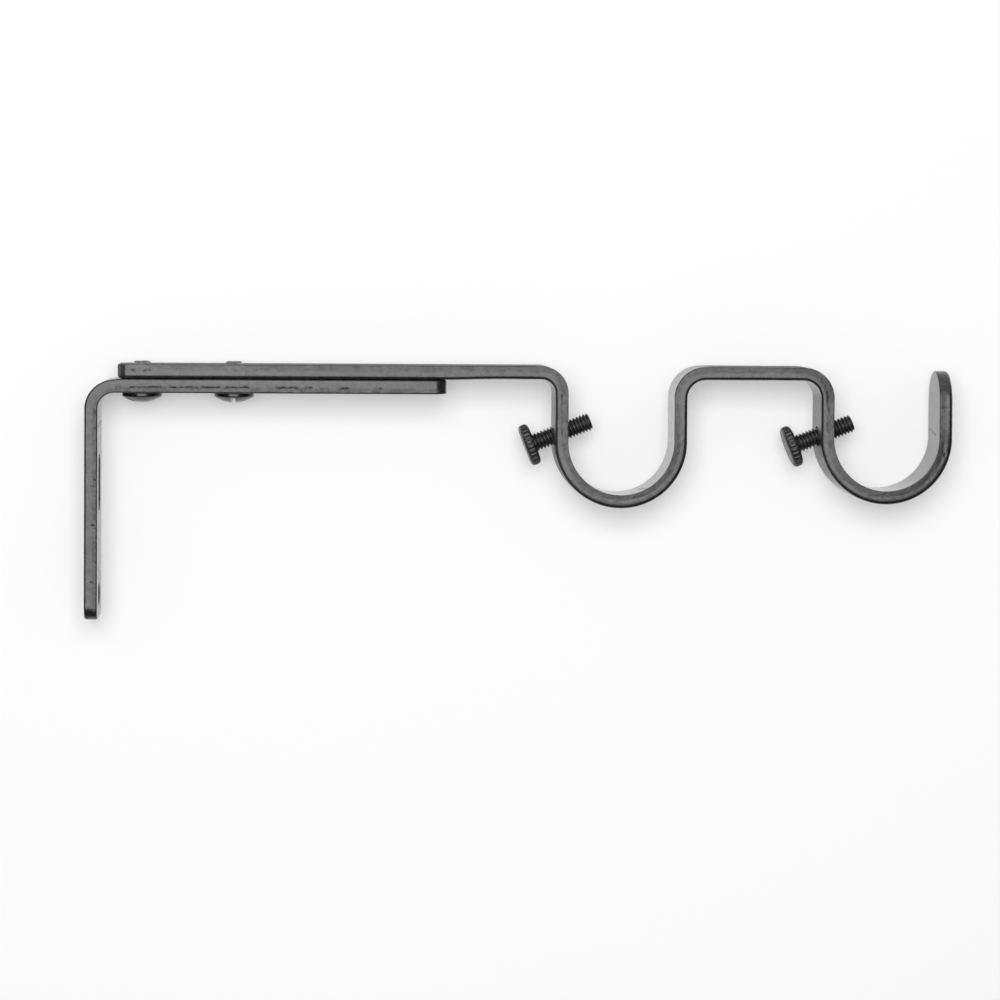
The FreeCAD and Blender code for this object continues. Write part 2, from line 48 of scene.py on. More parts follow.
# The side of the straps that faces the camera, and their upper and lower broad faces
FRONT = -1
UPPER, LOWER = 1, -1

# The thumbscrews' tilt, and the thread that all four screws have
TILT = math.radians(21.5)
SHANK = 2.05
PITCH = 0.79
THREAD_DEPTH = 0.42


class CentreLine:
    """The middle of a strap's thickness, in the X-Z plane: runs and bends walked by length.

    Each part is (first place, length, x, z and heading at its start, turn for each mm).
    """

    def __init__(self, x, z, heading, steps):
        self.parts = []
        self.length = 0.0
        heading = math.radians(heading)
        for kind, size, *radius in steps:
            if kind == "run":
                self.parts.append((self.length, size, x, z, heading, 0.0))
                x += size * math.cos(heading)
                z += size * math.sin(heading)
                self.length += size
                continue
            turn = math.radians(size)
            arc = abs(turn) * radius[0]
            bend = turn / arc
            self.parts.append((self.length, arc, x, z, heading, bend))
            x += (math.sin(heading + turn) - math.sin(heading)) / bend
            z -= (math.cos(heading + turn) - math.cos(heading)) / bend
            heading += turn
            self.length += arc

    def bent(self, flat):
        """Flat points (along, across, up) as points in the row frame."""
        out = np.empty_like(flat)
        last = len(self.parts) - 1
        for index, (begin, size, x, z, heading, bend) in enumerate(self.parts):
            low = -np.inf if index == 0 else begin
            high = np.inf if index == last else begin + size
            here = (flat[:, 0] >= low) & (flat[:, 0] < high)
            along = flat[here, 0] - begin
            if bend:
                now = heading + bend * along
                mid_x = x + (np.sin(now) - math.sin(heading)) / bend
                mid_z = z - (np.cos(now) - math.cos(heading)) / bend
            else:
                now = np.full(along.shape, heading)
                mid_x = x + along * math.cos(heading)
                mid_z = z + along * math.sin(heading)
            out[here, 0] = mid_x - flat[here, 2] * np.sin(now)
            out[here, 1] = flat[here, 1]
            out[here, 2] = mid_z + flat[here, 2] * np.cos(now)
        return out


class FlatStrap:
    """A strap as one closed mesh of quads in flat coordinates: two broad faces, rounded edges and holes.

    edges are the roundings of the upper and the lower face: sheared stock is sharper on one side.
    cut is how far the first end's corners are cut off straight (1) instead of rounded (0).
    """

    # Faces across a broad face, round an edge, down a narrow face, and rows in a corner and the round tip
    COLUMNS = 20
    EDGE_STEPS = 5
    FACE_STEPS = 12
    CORNER_ROWS = 8
    TIP_ROWS = 20
    # The round tip is laid out in rows up to this angle, and closed with rows that bulge
    TIP_ANGLE = 50
    # A hole is cut in a patch this many columns from the edges and this far beyond the hole
    PATCH = 4
    PATCH_MARGIN = 1.6
    # How far the rings between the patch and the hole have moved from one to the other
    PATCH_BLENDS = (0.3, 0.6, 0.85)
    # A hole's rounded rim, the steps round it and the steps down its wall
    RIM = 0.18
    RIM_STEPS = 3
    WALL_STEPS = 6

    def __init__(self, length, row_step, edges, corner, cut=0.0, round_tip=False):
        self.points = []
        self.normals = []
        self.quads = []
        self.length = length
        self.edges = edges
        self.corner = corner
        self.cut = cut
        self.rows = self.make_rows(row_step, round_tip, edges[0])
        self.top = self.sheet(UPPER, self.rows, edges[0])
        self.bottom = self.sheet(LOWER, self.make_rows(row_step, round_tip, edges[1]), edges[1])
        self.removed = set()

    def make_rows(self, step, round_tip, edge):
        """Each row is (along, half width, bulge, outward normal at its two ends)."""
        rows = []
        corner = self.corner
        small = corner - edge
        inner = WIDTH / 2 - edge
        for k in range(self.CORNER_ROWS):
            angle = math.pi / 2 * k / self.CORNER_ROWS
            share = k / self.CORNER_ROWS
            along = self.cut * (1 - share) + (1 - self.cut) * math.cos(angle)
            across = self.cut * share + (1 - self.cut) * math.sin(angle)
            normal = (-math.cos(angle), math.sin(angle))
            rows.append((corner - small * along, WIDTH / 2 - corner + small * across, 0.0, normal))
        stop = self.length - (WIDTH / 2 if round_tip else corner)
        count = round((stop - corner) / step)
        for k in range(count):
            rows.append((corner + (stop - corner) * k / count, inner, 0.0, (0.0, 1.0)))
        if round_tip:
            widest = math.radians(self.TIP_ANGLE)
            for k in range(self.TIP_ROWS + 1):
                share = k / self.TIP_ROWS
                sine, cosine = math.sin(widest * share), math.cos(widest * share)
                bulge = (share - sine) / (1 - sine) if share < 1 else 1.0
                rows.append((stop + inner * sine, inner * cosine, bulge, (sine, cosine)))
        else:
            for k in range(self.CORNER_ROWS + 1):
                angle = math.pi / 2 * k / self.CORNER_ROWS
                sine, cosine = math.sin(angle), math.cos(angle)
                rows.append((stop + small * sine, WIDTH / 2 - corner + small * cosine, 0.0, (sine, cosine)))
        return rows

    def add(self, point, normal):
        """Keeps a point and its outward normal, and gives its number."""
        self.points.append(point)
        self.normals.append(normal)
        return len(self.points) - 1

    def sheet(self, side, rows, edge):
        """The points of a broad face, as a grid of rows and columns."""
        inner = WIDTH / 2 - edge
        grid = []
        for along, half, bulge, _ in rows:
            line = []
            for j in range(self.COLUMNS + 1):
                across = half * (2 * j / self.COLUMNS - 1)
                rise = math.sqrt(inner ** 2 - across ** 2) - math.sqrt(max(inner ** 2 - half ** 2, 0))
                line.append(self.add((along + bulge * rise, across, side * THICK / 2), (0, 0, side)))
            grid.append(line)
        return grid

    def outline(self):
        """The rim of both sheets, once round: (row, column, outward normal)."""
        last, wide = len(self.rows) - 1, self.COLUMNS
        loop = [(i, wide, self.rows[i][3]) for i in range(last + 1)]
        for j in range(wide - 1, 0, -1):
            if self.rows[last][2]:
                across = self.rows[last][1] * (2 * j / wide - 1) / (WIDTH / 2 - self.edges[0])
                loop.append((last, j, (math.sqrt(1 - across ** 2), across)))
            else:
                loop.append((last, j, (1.0, 0.0)))
        loop += [(i, 0, (self.rows[i][3][0], -self.rows[i][3][1])) for i in range(last, -1, -1)]
        loop += [(0, j, (-1.0, 0.0)) for j in range(1, wide)]
        return loop

    def bridge(self, ring, other):
        """Joins two rings of as many points with quads."""
        count = len(ring)
        for k in range(count):
            n = (k + 1) % count
            self.quads.append((ring[k], ring[n], other[n], other[k]))

    def close_edges(self):
        """Joins the two broad faces with a rounded, a flat and a rounded stretch all round."""
        loop = self.outline()
        turns = [math.pi / 2 * k / self.EDGE_STEPS for k in range(1, self.EDGE_STEPS + 1)]
        high, low = self.edges
        half = THICK / 2
        profile = [(high * math.sin(t), half - high * (1 - math.cos(t)), math.sin(t), math.cos(t))
                   for t in turns]
        flat = THICK - high - low
        for k in range(1, self.FACE_STEPS):
            profile.append((high, half - high - flat * k / self.FACE_STEPS, 1.0, 0.0))
        for t in reversed(turns):
            profile.append((high - low * (1 - math.sin(t)), low * (1 - math.cos(t)) - half,
                            math.sin(t), -math.cos(t)))
        ring = [self.top[i][j] for i, j, _ in loop]
        for out, up, lean, rise in profile:
            fresh = []
            for i, j, (n_along, n_across) in loop:
                along, across, _ = self.points[self.top[i][j]]
                fresh.append(self.add((along + out * n_along, across + out * n_across, up),
                                      (lean * n_along, lean * n_across, rise)))
            self.bridge(ring, fresh)
            ring = fresh
        self.bridge(ring, [self.bottom[i][j] for i, j, _ in loop])

    def hole(self, first, last, radius, lean=0.0):
        """A hole or slot through the strap. lean is the slope of its axis along the strap."""
        low, high = self.PATCH, self.COLUMNS - self.PATCH
        reach = radius / math.cos(math.atan(lean)) + abs(lean) * THICK / 2 + self.PATCH_MARGIN
        along = np.array([row[0] for row in self.rows])
        start = int(np.argmin(abs(along - (first - reach))))
        stop = int(np.argmin(abs(along - (last + reach))))
        cells = [(i, low) for i in range(start, stop)]
        cells += [(stop, j) for j in range(low, high)]
        cells += [(i, high) for i in range(stop, start, -1)]
        cells += [(start, j) for j in range(high, low, -1)]
        self.removed.update((i, j) for i in range(start, stop) for j in range(low, high))
        stretch = math.sqrt(1 + lean ** 2)
        middles = []
        for i, j in cells:
            s, u, _ = self.points[self.top[i][j]]
            middle = min(max(s, first), last)
            size = math.hypot(s - middle, u)
            middles.append((middle, (s - middle) / size, u / size))

        def ring(out, up, blend=1.0, grid=None, rise=0.0):
            fresh = []
            for (i, j), (middle, a, b) in zip(cells, middles):
                s = middle + lean * up + a * (radius + out) * stretch
                u = b * (radius + out)
                if blend < 1:
                    from_s, from_u, _ = self.points[grid[i][j]]
                    s, u = from_s + (s - from_s) * blend, from_u + (u - from_u) * blend
                inward = math.sqrt(1 - rise ** 2)
                fresh.append(self.add((s, u, up), (-a * inward, -b * inward, rise)))
            return fresh

        half, rim = THICK / 2, self.RIM
        turns = [math.pi / 2 * k / self.RIM_STEPS for k in range(self.RIM_STEPS + 1)]
        rings = [[self.top[i][j] for i, j in cells]]
        rings += [ring(rim, half, blend, self.top, 1.0) for blend in self.PATCH_BLENDS]
        rings += [ring(rim * (1 - math.sin(t)), half - rim * (1 - math.cos(t)), rise=math.cos(t))
                  for t in turns]
        rings += [ring(0, (half - rim) * (1 - 2 * k / self.WALL_STEPS)) for k in range(1, self.WALL_STEPS)]
        rings += [ring(rim * (1 - math.sin(t)), -half + rim * (1 - math.cos(t)), rise=-math.cos(t))
                  for t in reversed(turns)]
        rings += [ring(rim, -half, blend, self.bottom, -1.0) for blend in reversed(self.PATCH_BLENDS)]
        rings.append([self.bottom[i][j] for i, j in cells])
        for one, other in zip(rings, rings[1:]):
            self.bridge(one, other)

    def finish(self):
        """Closes the edges and fills both broad faces round the holes."""
        self.close_edges()
        for i in range(len(self.rows) - 1):
            for j in range(self.COLUMNS):
                if (i, j) in self.removed:
                    continue
                for grid in (self.top, self.bottom):
                    self.quads.append((grid[i][j], grid[i + 1][j], grid[i + 1][j + 1], grid[i][j + 1]))


# How far apart the noise of two seeds is read
SEED_STEPS = (17.3, 5.1, 9.7)


def smooth_noise(points, size, seed):
    """Noise from 0 to 1 at each point, with features of that size."""
    offset = Vector([seed * step for step in SEED_STEPS])
    return np.array([0.5 + 0.5 * noise.noise(Vector(p) / size + offset) for p in points.tolist()])


def ease(low, high, value):
    """0 below low, 1 above high and smooth between."""
    share = np.clip((value - low) / (high - low), 0, 1)
    return share * share * (3 - 2 * share)


def stretch_of(flat, start, full, fading, gone):
    """0 before start and after gone and 1 from full to fading, by the place along the strap."""
    return ease(start, full, flat[:, 0]) * (1 - ease(fading, gone, flat[:, 0]))


# A mark has faded to nothing at this many of its lengths
MARK_REACH = 3


def dents(points, normals, marks):
    """How deep each mark on the front edge goes at each point: (along, up, length, height, depth)."""
    depth = np.zeros(len(points))
    for along, up, long, high, deep in marks:
        in_reach = abs(points[:, 0] - along) < MARK_REACH * long
        near = np.nonzero(in_reach & (normals[:, 1] * FRONT > 0.5))[0]
        gap = ((points[near, 0] - along) / long) ** 2 + ((points[near, 2] - up) / high) ** 2
        depth[near] = np.maximum(depth[near], deep * np.exp(-gap))
    return depth


def sheared_zone(flat, normals, border, side):
    """How far each point lies in the rough part of a sheared edge, from the border to one broad face."""
    along = flat * (1, 0, 0)
    slow_wander = 0.5 * (smooth_noise(along, 5.0, 3) - 0.5)
    quick_wander = 0.22 * (smooth_noise(along, 0.9, 4) - 0.5)
    past_border = (flat[:, 2] - border - (slow_wander + quick_wander)) * side
    return (abs(normals[:, 1]) > 0.9) * ease(-0.12, 0.25, past_border)


# How much a bend draws the narrow faces in, and how far beyond and within the bend that fades
BEND_PULL = 0.24
PULL_BEYOND, PULL_WITHIN = 3, 2


def pulled_edges(flat, line):
    """How far a bend pulls the strap's narrow faces in on its outer side, where the metal stretched."""
    pull = np.zeros(len(flat))
    for begin, size, *_, bend in line.parts:
        if bend:
            end = begin + size
            share = stretch_of(flat, begin - PULL_BEYOND, begin + PULL_WITHIN,
                               end - PULL_WITHIN, end + PULL_BEYOND)
            outer = np.clip(0.5 - math.copysign(1 / THICK, bend) * flat[:, 2], 0, 1)
            pull = np.maximum(pull, share * outer)
    return BEND_PULL * pull


# How dull a scratch is along its middle, how far beside it a dullness of 1 would fade to none, and how
# far and how fast it wavers
SCRATCH_DULL = 0.7
SCRATCH_FADE = 0.6
SCRATCH_WAVER, WAVER_SPEED = 0.1, 0.5


def scratched(flat, normals, scratches):
    """How dull each point is from scratches across a broad face: (face, along, lean, first, last)."""
    matt = np.zeros(len(flat))
    for face, along, lean, first, last in scratches:
        waver = SCRATCH_WAVER * np.sin(WAVER_SPEED * flat[:, 1])
        gap = abs(flat[:, 0] - along - lean * flat[:, 1] - waver)
        inside = (flat[:, 1] > first) & (flat[:, 1] < last) & (normals[:, 2] * face > 0.5)
        matt = np.maximum(matt, inside * np.clip(SCRATCH_DULL - gap / SCRATCH_FADE, 0, 1))
    return matt


def make_object(name, verts, faces, body, slot, material, nodes, **layers):
    """Makes a piece from points in mm. layers are values at each point, which the material reads."""
    mesh = bpy.data.meshes.new(name)
    mesh.from_pydata([tuple(v) for v in (np.asarray(verts) * MM).tolist()], [], faces)
    for layer, values in layers.items():
        mesh.attributes.new(layer, "FLOAT", "POINT").data.foreach_set("value", values)
    work = bmesh.new()
    work.from_mesh(mesh)
    loose = [v for v in work.verts if not v.link_faces]
    bmesh.ops.delete(work, geom=loose, context="VERTS")
    bmesh.ops.recalc_face_normals(work, faces=work.faces)
    work.to_mesh(mesh)
    work.free()
    mesh.polygons.foreach_set("use_smooth", [True] * len(mesh.polygons))
    piece = bpy.data.objects.new(name, mesh)
    bpy.context.scene.collection.objects.link(piece)
    piece.data.materials.append(material)
    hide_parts(*nodes)
    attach(piece, body)
    return piece


# A swell grows and fades over these lengths, and leaves off this far below the surface
SWELL_GROWS, SWELL_FADES, SWELL_DEPTH = 2.5, 12, 2.1
# A dull span fades over this length beyond each of its ends
DULL_FADES = 6


def strap_object(name, node, body, material, strap, line, border, rough_side, marks, rubs_and_sheen, scratches, swell,
                 dull):
    """Bends a flat strap along its centre line, with the unevenness, marks and wear of its surface, and
    painted sheen and highlights.

    The edges are rough between border and the rough side's broad face.
    swell is (first, last, rise): between them the strap is thicker, on the upper face where rise is
    above 0 and on the lower face where it is below 0.
    dull lists (first, last, face, amount) spans where a broad face is less glossy.
    """
    strap.finish()
    flat = np.array(strap.points)
    normals = np.array(strap.normals, dtype=float)
    rough = sheared_zone(flat, normals, border, rough_side)
    broad_waves = 0.03 * smooth_noise(flat, 9.0, 1)
    small_waves = 0.012 * smooth_noise(flat, 1.6, 2)
    torn = 0.015 + 0.07 * smooth_noise(flat * (1, 1, 1.6), 0.75, 5)
    sunk = broad_waves + small_waves + rough * torn + dents(flat, normals, marks)
    moved = flat - normals * sunk[:, None]
    moved[:, 1] -= normals[:, 1] * pulled_edges(flat, line)
    first, last, rise = swell
    share = stretch_of(flat, first, first + SWELL_GROWS, last, last + SWELL_FADES)
    moved[:, 2] += rise * share * np.clip(0.5 + math.copysign(1 / SWELL_DEPTH, rise) * flat[:, 2], 0, 1)
    # Rub marks and painted sheen and highlights, as amounts of a pale colour on the front face
    worn = np.clip(dents(flat, normals, rubs_and_sheen), 0, 1)
    matt = scratched(flat, normals, scratches)
    for first, last, face, amount in dull:
        span = stretch_of(flat, first - DULL_FADES, first, last, last + DULL_FADES)
        matt += amount * span * (normals[:, 2] * face > 0.3)
    return make_object(name, line.bent(moved), strap.quads, body, "strap", material, [node],
                       rough_edge=rough, worn=worn, dull=matt)


def turned_mesh(rings, angles):
    """Closed mesh round +Z from rings of (height, radii for each angle). Both ends close on the axis."""
    count = len(angles)
    verts = [(0, 0, rings[0][0])]
    for height, radii in rings:
        verts += [(r * math.cos(a), r * math.sin(a), height) for r, a in zip(radii, angles)]
    verts.append((0, 0, rings[-1][0]))
    faces = [(0, 1 + (k + 1) % count, 1 + k) for k in range(count)]
    for i in range(len(rings) - 1):
        a, b = 1 + i * count, 1 + (i + 1) * count
        faces += [(a + k, a + (k + 1) % count, b + (k + 1) % count, b + k) for k in range(count)]
    last = 1 + (len(rings) - 1) * count
    faces += [(len(verts) - 1, last + k, last + (k + 1) % count) for k in range(count)]
    return verts, faces


# Rings for each turn of a thread, its first place under the head and how soon it reaches its full depth
RINGS_PER_TURN = 10
THREAD_START = 0.1
THREAD_FADE = 0.5
# The shares of a turn that the crest's flat and its two flanks take
CREST_SHARE, FLANK_SHARE = 0.26, 0.62
# The tip's chamfer, and the rings that close it, as shares of the last radius
CHAMFER = 0.4
TIP_SHARES = (0.7, 0.35)
# Radii of the rings on the flat under a head, down to the shank
UNDER_HEAD = (3.4, 2.6, SHANK)
# How worn the crests are, how far from its end the tip's wear starts and is full, and the crests' slack
CREST_WEAR = 0.12
WEAR_STARTS, WEAR_FULL = 0.9, 0.6
CREST_SLACK = 0.03


def thread_rings(angles, stop):
    """Rings of a threaded shank from under the head to stop, with a chamfered tip."""
    rings = []
    start = THREAD_START
    count = round((stop - start) / (PITCH / RINGS_PER_TURN))
    for k in range(count + 1):
        height = start + (stop - start) * k / count
        fade = min(1.0, (height - start) / THREAD_FADE)
        limit = SHANK - max(0.0, height - (stop - CHAMFER))
        radii = []
        for a in angles:
            turn = (height / PITCH - a / (2 * math.pi)) % 1.0
            wave = abs(2 * turn - 1)
            groove = min(max((wave - CREST_SHARE) / FLANK_SHARE, 0), 1)
            radii.append(min(limit, SHANK - THREAD_DEPTH * groove * fade))
        rings.append((height, radii))
    tip = rings[-1][1]
    rings += [(stop, [r * share for r in tip]) for share in TIP_SHARES]
    return rings


def thread_wear(verts, tip_wear):
    """How much wear each point of an upright screw shows: on its thread's crests and its tip."""
    top = max(z for _, _, z in verts)
    worn = []
    for x, y, z in verts:
        on_crest = z > THREAD_FADE and math.hypot(x, y) > SHANK - CREST_SLACK
        tip = tip_wear * float(ease(top - WEAR_STARTS, top - WEAR_FULL, z))
        worn.append(max(CREST_WEAR if on_crest else 0.0, tip))
    return worn


def arc_profile(mid_r, mid_z, radius, start, stop, steps):
    """Points (radius, height) along an arc from one angle to another, in degrees."""
    turns = [math.radians(start + (stop - start) * k / steps) for k in range(steps + 1)]
    return [(mid_r + radius * math.cos(t), mid_z + radius * math.sin(t)) for t in turns]


def adjusting_screw(name, node, material, reach, slot_turn):
    """A truss-head screw, head down under the wall bracket's arm, at that distance from the wall."""
    head_r, rim, high, corner = 4.5, 0.7, 2.3, 0.35
    bearing, long = 45.9, 7.1
    slot_wide, slot_deep = 1.2, 1.1
    facets = 96
    tip_wear = 0.85
    flat, depth = head_r - corner, high - rim
    crown = (flat ** 2 + depth ** 2 - corner ** 2) / (2 * (depth - corner))
    lean = math.degrees(math.atan2(flat, crown - depth))
    profile = arc_profile(0, crown - high, crown, -89.0, lean - 90, 10)
    profile += arc_profile(flat, -rim, corner, lean - 90, 0, 8)[1:]
    edge, edge_middle = 0.12, 0.04
    profile += [(head_r, -rim / 2), (head_r, -edge), (head_r - edge_middle, -edge_middle)]
    profile += [(head_r - edge, 0)]
    profile += [(r, 0) for r in UNDER_HEAD]
    angles = [2 * math.pi * k / facets for k in range(facets)]
    rings = [(z, [r] * len(angles)) for r, z in profile]
    rings += thread_rings(angles, long)
    verts, faces = turned_mesh(rings, angles)
    place = Matrix.Translation((reach, 0, bearing)) @ Matrix.Rotation(math.radians(slot_turn), 4, "Z")
    placed = [place @ Vector(v) for v in verts]
    piece = make_object(name, placed, faces, "pole_side", "screws", material, [node],
                        worn=thread_wear(verts, tip_wear))
    cut_slot(piece, place, high, slot_wide, slot_deep, head_r)
    return piece


def cut_slot(piece, place, high, wide, deep, reach):
    """Cuts the driver slot across the head, and rounds its edges a little."""
    mesh = bpy.data.meshes.new("driver_slot_cutter")
    work = bmesh.new()
    bmesh.ops.create_cube(work, size=1.0)
    size = Matrix.Diagonal((4 * reach, wide, 2 * deep, 1))
    shape = place @ Matrix.Translation((0, 0, -high)) @ size
    bmesh.ops.transform(work, matrix=Matrix.Diagonal((MM, MM, MM, 1)) @ shape, verts=work.verts)
    work.to_mesh(mesh)
    work.free()
    cutter = bpy.data.objects.new("driver_slot_cutter", mesh)
    bpy.context.scene.collection.objects.link(cutter)
    cut = piece.modifiers.new("driver_slot", "BOOLEAN")
    cut.operation = "DIFFERENCE"
    cut.solver = "EXACT"
    cut.object = cutter
    bevel = piece.modifiers.new("slot_edges", "BEVEL")
    bevel.width = 0.09 * MM
    bevel.segments = 2
    bevel.limit_method = "ANGLE"
    bevel.angle_limit = math.radians(50)
    bpy.context.view_layer.update()
    ready = piece.evaluated_get(bpy.context.evaluated_depsgraph_get())
    fresh = bpy.data.meshes.new_from_object(ready)
    piece.modifiers.clear()
    piece.data = fresh
    fresh.set_sharp_from_angle(angle=math.radians(40))
    bpy.data.objects.remove(cutter)


def thumbscrew(name, node, body, material, wall_x, tip_reach, turn):
    """A knurled-head screw, tilted through a cradle's wall, its tip that far past the wall's middle."""
    head_r, thick, rounding = 4.8, 2.35, 0.9
    knurls, depth, half_groove, per_knurl = 26, 0.28, 0.31, 8
    long, wall_z = 13.7, 37.0
    head_dull, thread_dull = 0.4, 0.1
    count = knurls * per_knurl
    angles = [2 * math.pi * k / count for k in range(count)]
    pitch = 2 * math.pi * head_r / knurls

    def knurled(radius):
        radii = []
        for a in angles:
            gap = abs((a * head_r / pitch + 0.5) % 1.0 - 0.5) * pitch
            groove = max(0.0, 1 - gap / half_groove)
            radii.append(min(radius, head_r - depth * groove))
        return radii

    profile = [(r, -thick) for r in (0.6, 2.4, 3.6)]
    profile += arc_profile(head_r - rounding, rounding - thick, rounding, -90, 0, 6)
    profile += [(head_r, -thick / 2)]
    profile += arc_profile(head_r - rounding, -rounding, rounding, 0, 90, 6)
    profile += [(r, 0) for r in UNDER_HEAD]
    rings = [(z, knurled(r)) for r, z in profile]
    rings += thread_rings(angles, long)
    verts, faces = turned_mesh(rings, angles)
    axis = Vector((math.cos(TILT), 0, math.sin(TILT)))
    base = Vector((wall_x, 0, wall_z)) - axis * (long - tip_reach)
    tilted = Matrix.Rotation(math.pi / 2 - TILT, 4, "Y") @ Matrix.Rotation(turn, 4, "Z")
    place = Matrix.Translation(base) @ tilted
    dull = [head_dull if z < THREAD_FADE else thread_dull for _, _, z in verts]
    return make_object(name, [place @ Vector(v) for v in verts], faces, body, "screws", material, [node],
                       worn=thread_wear(verts, 0.0), dull=dull)


def new_material(name):
    """A material with the default nodes, and its node tree."""
    material = bpy.data.materials.new(name)
    material.use_nodes = True
    return material, material.node_tree


def noise_node(tree, where, scale, detail, roughness=0.55):
    """Noise with that many features in a metre."""
    node = tree.nodes.new("ShaderNodeTexNoise")
    node.inputs["Scale"].default_value = scale
    node.inputs["Detail"].default_value = detail
    node.inputs["Roughness"].default_value = roughness
    tree.links.new(where, node.inputs["Vector"])
    return node.outputs["Fac"]


def ramp_node(tree, source, stops):
    """A colour ramp. A stop is (place, colour), or (place, grey level)."""
    node = tree.nodes.new("ShaderNodeValToRGB")
    ramp = node.color_ramp
    while len(ramp.elements) < len(stops):
        ramp.elements.new(0.5)
    for element, (place, colour) in zip(ramp.elements, stops):
        element.position = place
        element.color = (*colour, 1) if isinstance(colour, tuple) else (colour, colour, colour, 1)
    tree.links.new(source, node.inputs["Fac"])
    return node.outputs["Color"]


def range_node(tree, source, from_range, to_range):
    """Maps a value from one range to another, and holds it there."""
    node = tree.nodes.new("ShaderNodeMapRange")
    for label, value in zip(("From Min", "From Max", "To Min", "To Max"), (*from_range, *to_range)):
        node.inputs[label].default_value = value
    tree.links.new(source, node.inputs["Value"])
    return node.outputs["Result"]


def bump_node(tree, height, distance, strength, normal=None):
    """Fine relief on the surface, or on the relief that normal gives."""
    node = tree.nodes.new("ShaderNodeBump")
    node.inputs["Strength"].default_value = strength
    node.inputs["Distance"].default_value = distance
    tree.links.new(height, node.inputs["Height"])
    if normal:
        tree.links.new(normal, node.inputs["Normal"])
    return node.outputs["Normal"]


def value_node(tree, kind, first, second):
    """Arithmetic on two sockets or numbers."""
    node = tree.nodes.new("ShaderNodeMath")
    node.operation = kind
    for socket, value in zip(node.inputs, (first, second)):
        if isinstance(value, (int, float)):
            socket.default_value = value
        else:
            tree.links.new(value, socket)
    return node.outputs[0]


# The places of the colour sockets among all sockets of a Mix node
MIX_A, MIX_B, MIX_RESULT = 6, 7, 2


def mix_node(tree, share, first, second):
    """Mixes two colours, each a socket or a plain colour."""
    node = tree.nodes.new("ShaderNodeMix")
    node.data_type = "RGBA"
    tree.links.new(share, node.inputs["Factor"])
    for socket, value in zip((node.inputs[MIX_A], node.inputs[MIX_B]), (first, second)):
        if isinstance(value, tuple):
            socket.default_value = (*value, 1)
        else:
            tree.links.new(value, socket)
    return node.outputs[MIX_RESULT]


def shader_mix(tree, share, first, second):
    """Mixes two shaders."""
    node = tree.nodes.new("ShaderNodeMixShader")
    for socket, source in zip(node.inputs, (share, first, second)):
        tree.links.new(source, socket)
    return node.outputs[0]


# The colour of rub marks and of painted sheen and highlights, and how much rougher each layer makes the
# surface
RUBBED_AND_SHEEN_COLOUR = (0.3, 0.288, 0.308)
LAYER_ROUGHNESS = {"rough_edge": 0.12, "worn": 0.2, "dull": 0.42}


def black_finish(name, dark, light, low_rough, high_rough, speckle):
    """Black coating on steel, mottled at a few sizes, with pale specks, rub marks and painted sheen and
    highlights.
    """
    material, tree = new_material(name)
    shader = tree.nodes["Principled BSDF"]
    where = tree.nodes.new("ShaderNodeTexCoord").outputs["Object"]
    broad = noise_node(tree, where, scale=260, detail=4)
    mottle = noise_node(tree, where, scale=900, detail=4, roughness=0.65)
    fine = noise_node(tree, where, scale=2600, detail=3)
    grain = noise_node(tree, where, scale=6500, detail=2)
    layers = {}
    for layer in LAYER_ROUGHNESS:
        node = tree.nodes.new("ShaderNodeAttribute")
        node.attribute_name = layer
        layers[layer] = node.outputs["Fac"]
    tone = ramp_node(tree, mottle, [(0.34, dark), (0.66, light)])
    specks = ramp_node(tree, fine, [(0.0, 0.0), (0.70, 0.0), (0.76, 1.0)])
    tone = mix_node(tree, specks, tone, speckle)
    patchy = ramp_node(tree, fine, [(0.35, 0.35), (0.6, 1.0)])
    # Rub marks and painted sheen and highlights turn the coating toward a pale grey
    rubbed_and_sheen = value_node(tree, "MULTIPLY", layers["worn"], patchy)
    tone = mix_node(tree, rubbed_and_sheen, tone, RUBBED_AND_SHEEN_COLOUR)
    tree.links.new(tone, shader.inputs["Base Color"])
    rough = ramp_node(tree, mottle, [(0.3, high_rough), (0.7, low_rough)])
    for layer, amount in LAYER_ROUGHNESS.items():
        rough = value_node(tree, "ADD", rough, value_node(tree, "MULTIPLY", layers[layer], amount))
    tree.links.new(rough, shader.inputs["Roughness"])
    bumps = bump_node(tree, broad, distance=0.05 * MM, strength=0.5)
    bumps = bump_node(tree, grain, distance=0.01 * MM, strength=0.4, normal=bumps)
    torn = value_node(tree, "MULTIPLY", fine, layers["rough_edge"])
    bumps = bump_node(tree, torn, distance=0.07 * MM, strength=0.8, normal=bumps)
    tree.links.new(bumps, shader.inputs["Normal"])
    return material


strap_finish = black_finish(
    "strap_black_coating", dark=(0.004, 0.004, 0.0041), light=(0.026, 0.026, 0.0265),
    low_rough=0.13, high_rough=0.3, speckle=(0.07, 0.07, 0.072))
screw_finish = black_finish(
    "screw_black_finish", dark=(0.005, 0.0047, 0.0043), light=(0.02, 0.019, 0.018),
    low_rough=0.18, high_rough=0.3, speckle=(0.05, 0.046, 0.043))

random.seed(7)


def torn_line(spans, up, spread, deep):
    """Small pits close together along each span, as where a sheared edge tore."""
    marks = []
    for first, last in spans:
        place = first
        while place < last:
            middle = up + random.uniform(-spread, spread)
            long = random.uniform(0.25, 0.6)
            high = random.uniform(0.28, 0.4)
            marks.append((place, middle, long, high, deep * random.uniform(0.6, 1.2)))
            place += random.uniform(0.5, 1.0)
    return marks


LEG_RUN, BRACKET_BEND = 47.6, 5.2
bracket_line = CentreLine(THICK / 2, -5.4, 90, [
    ("run", LEG_RUN), ("bend", -90, BRACKET_BEND), ("run", 74.8)])
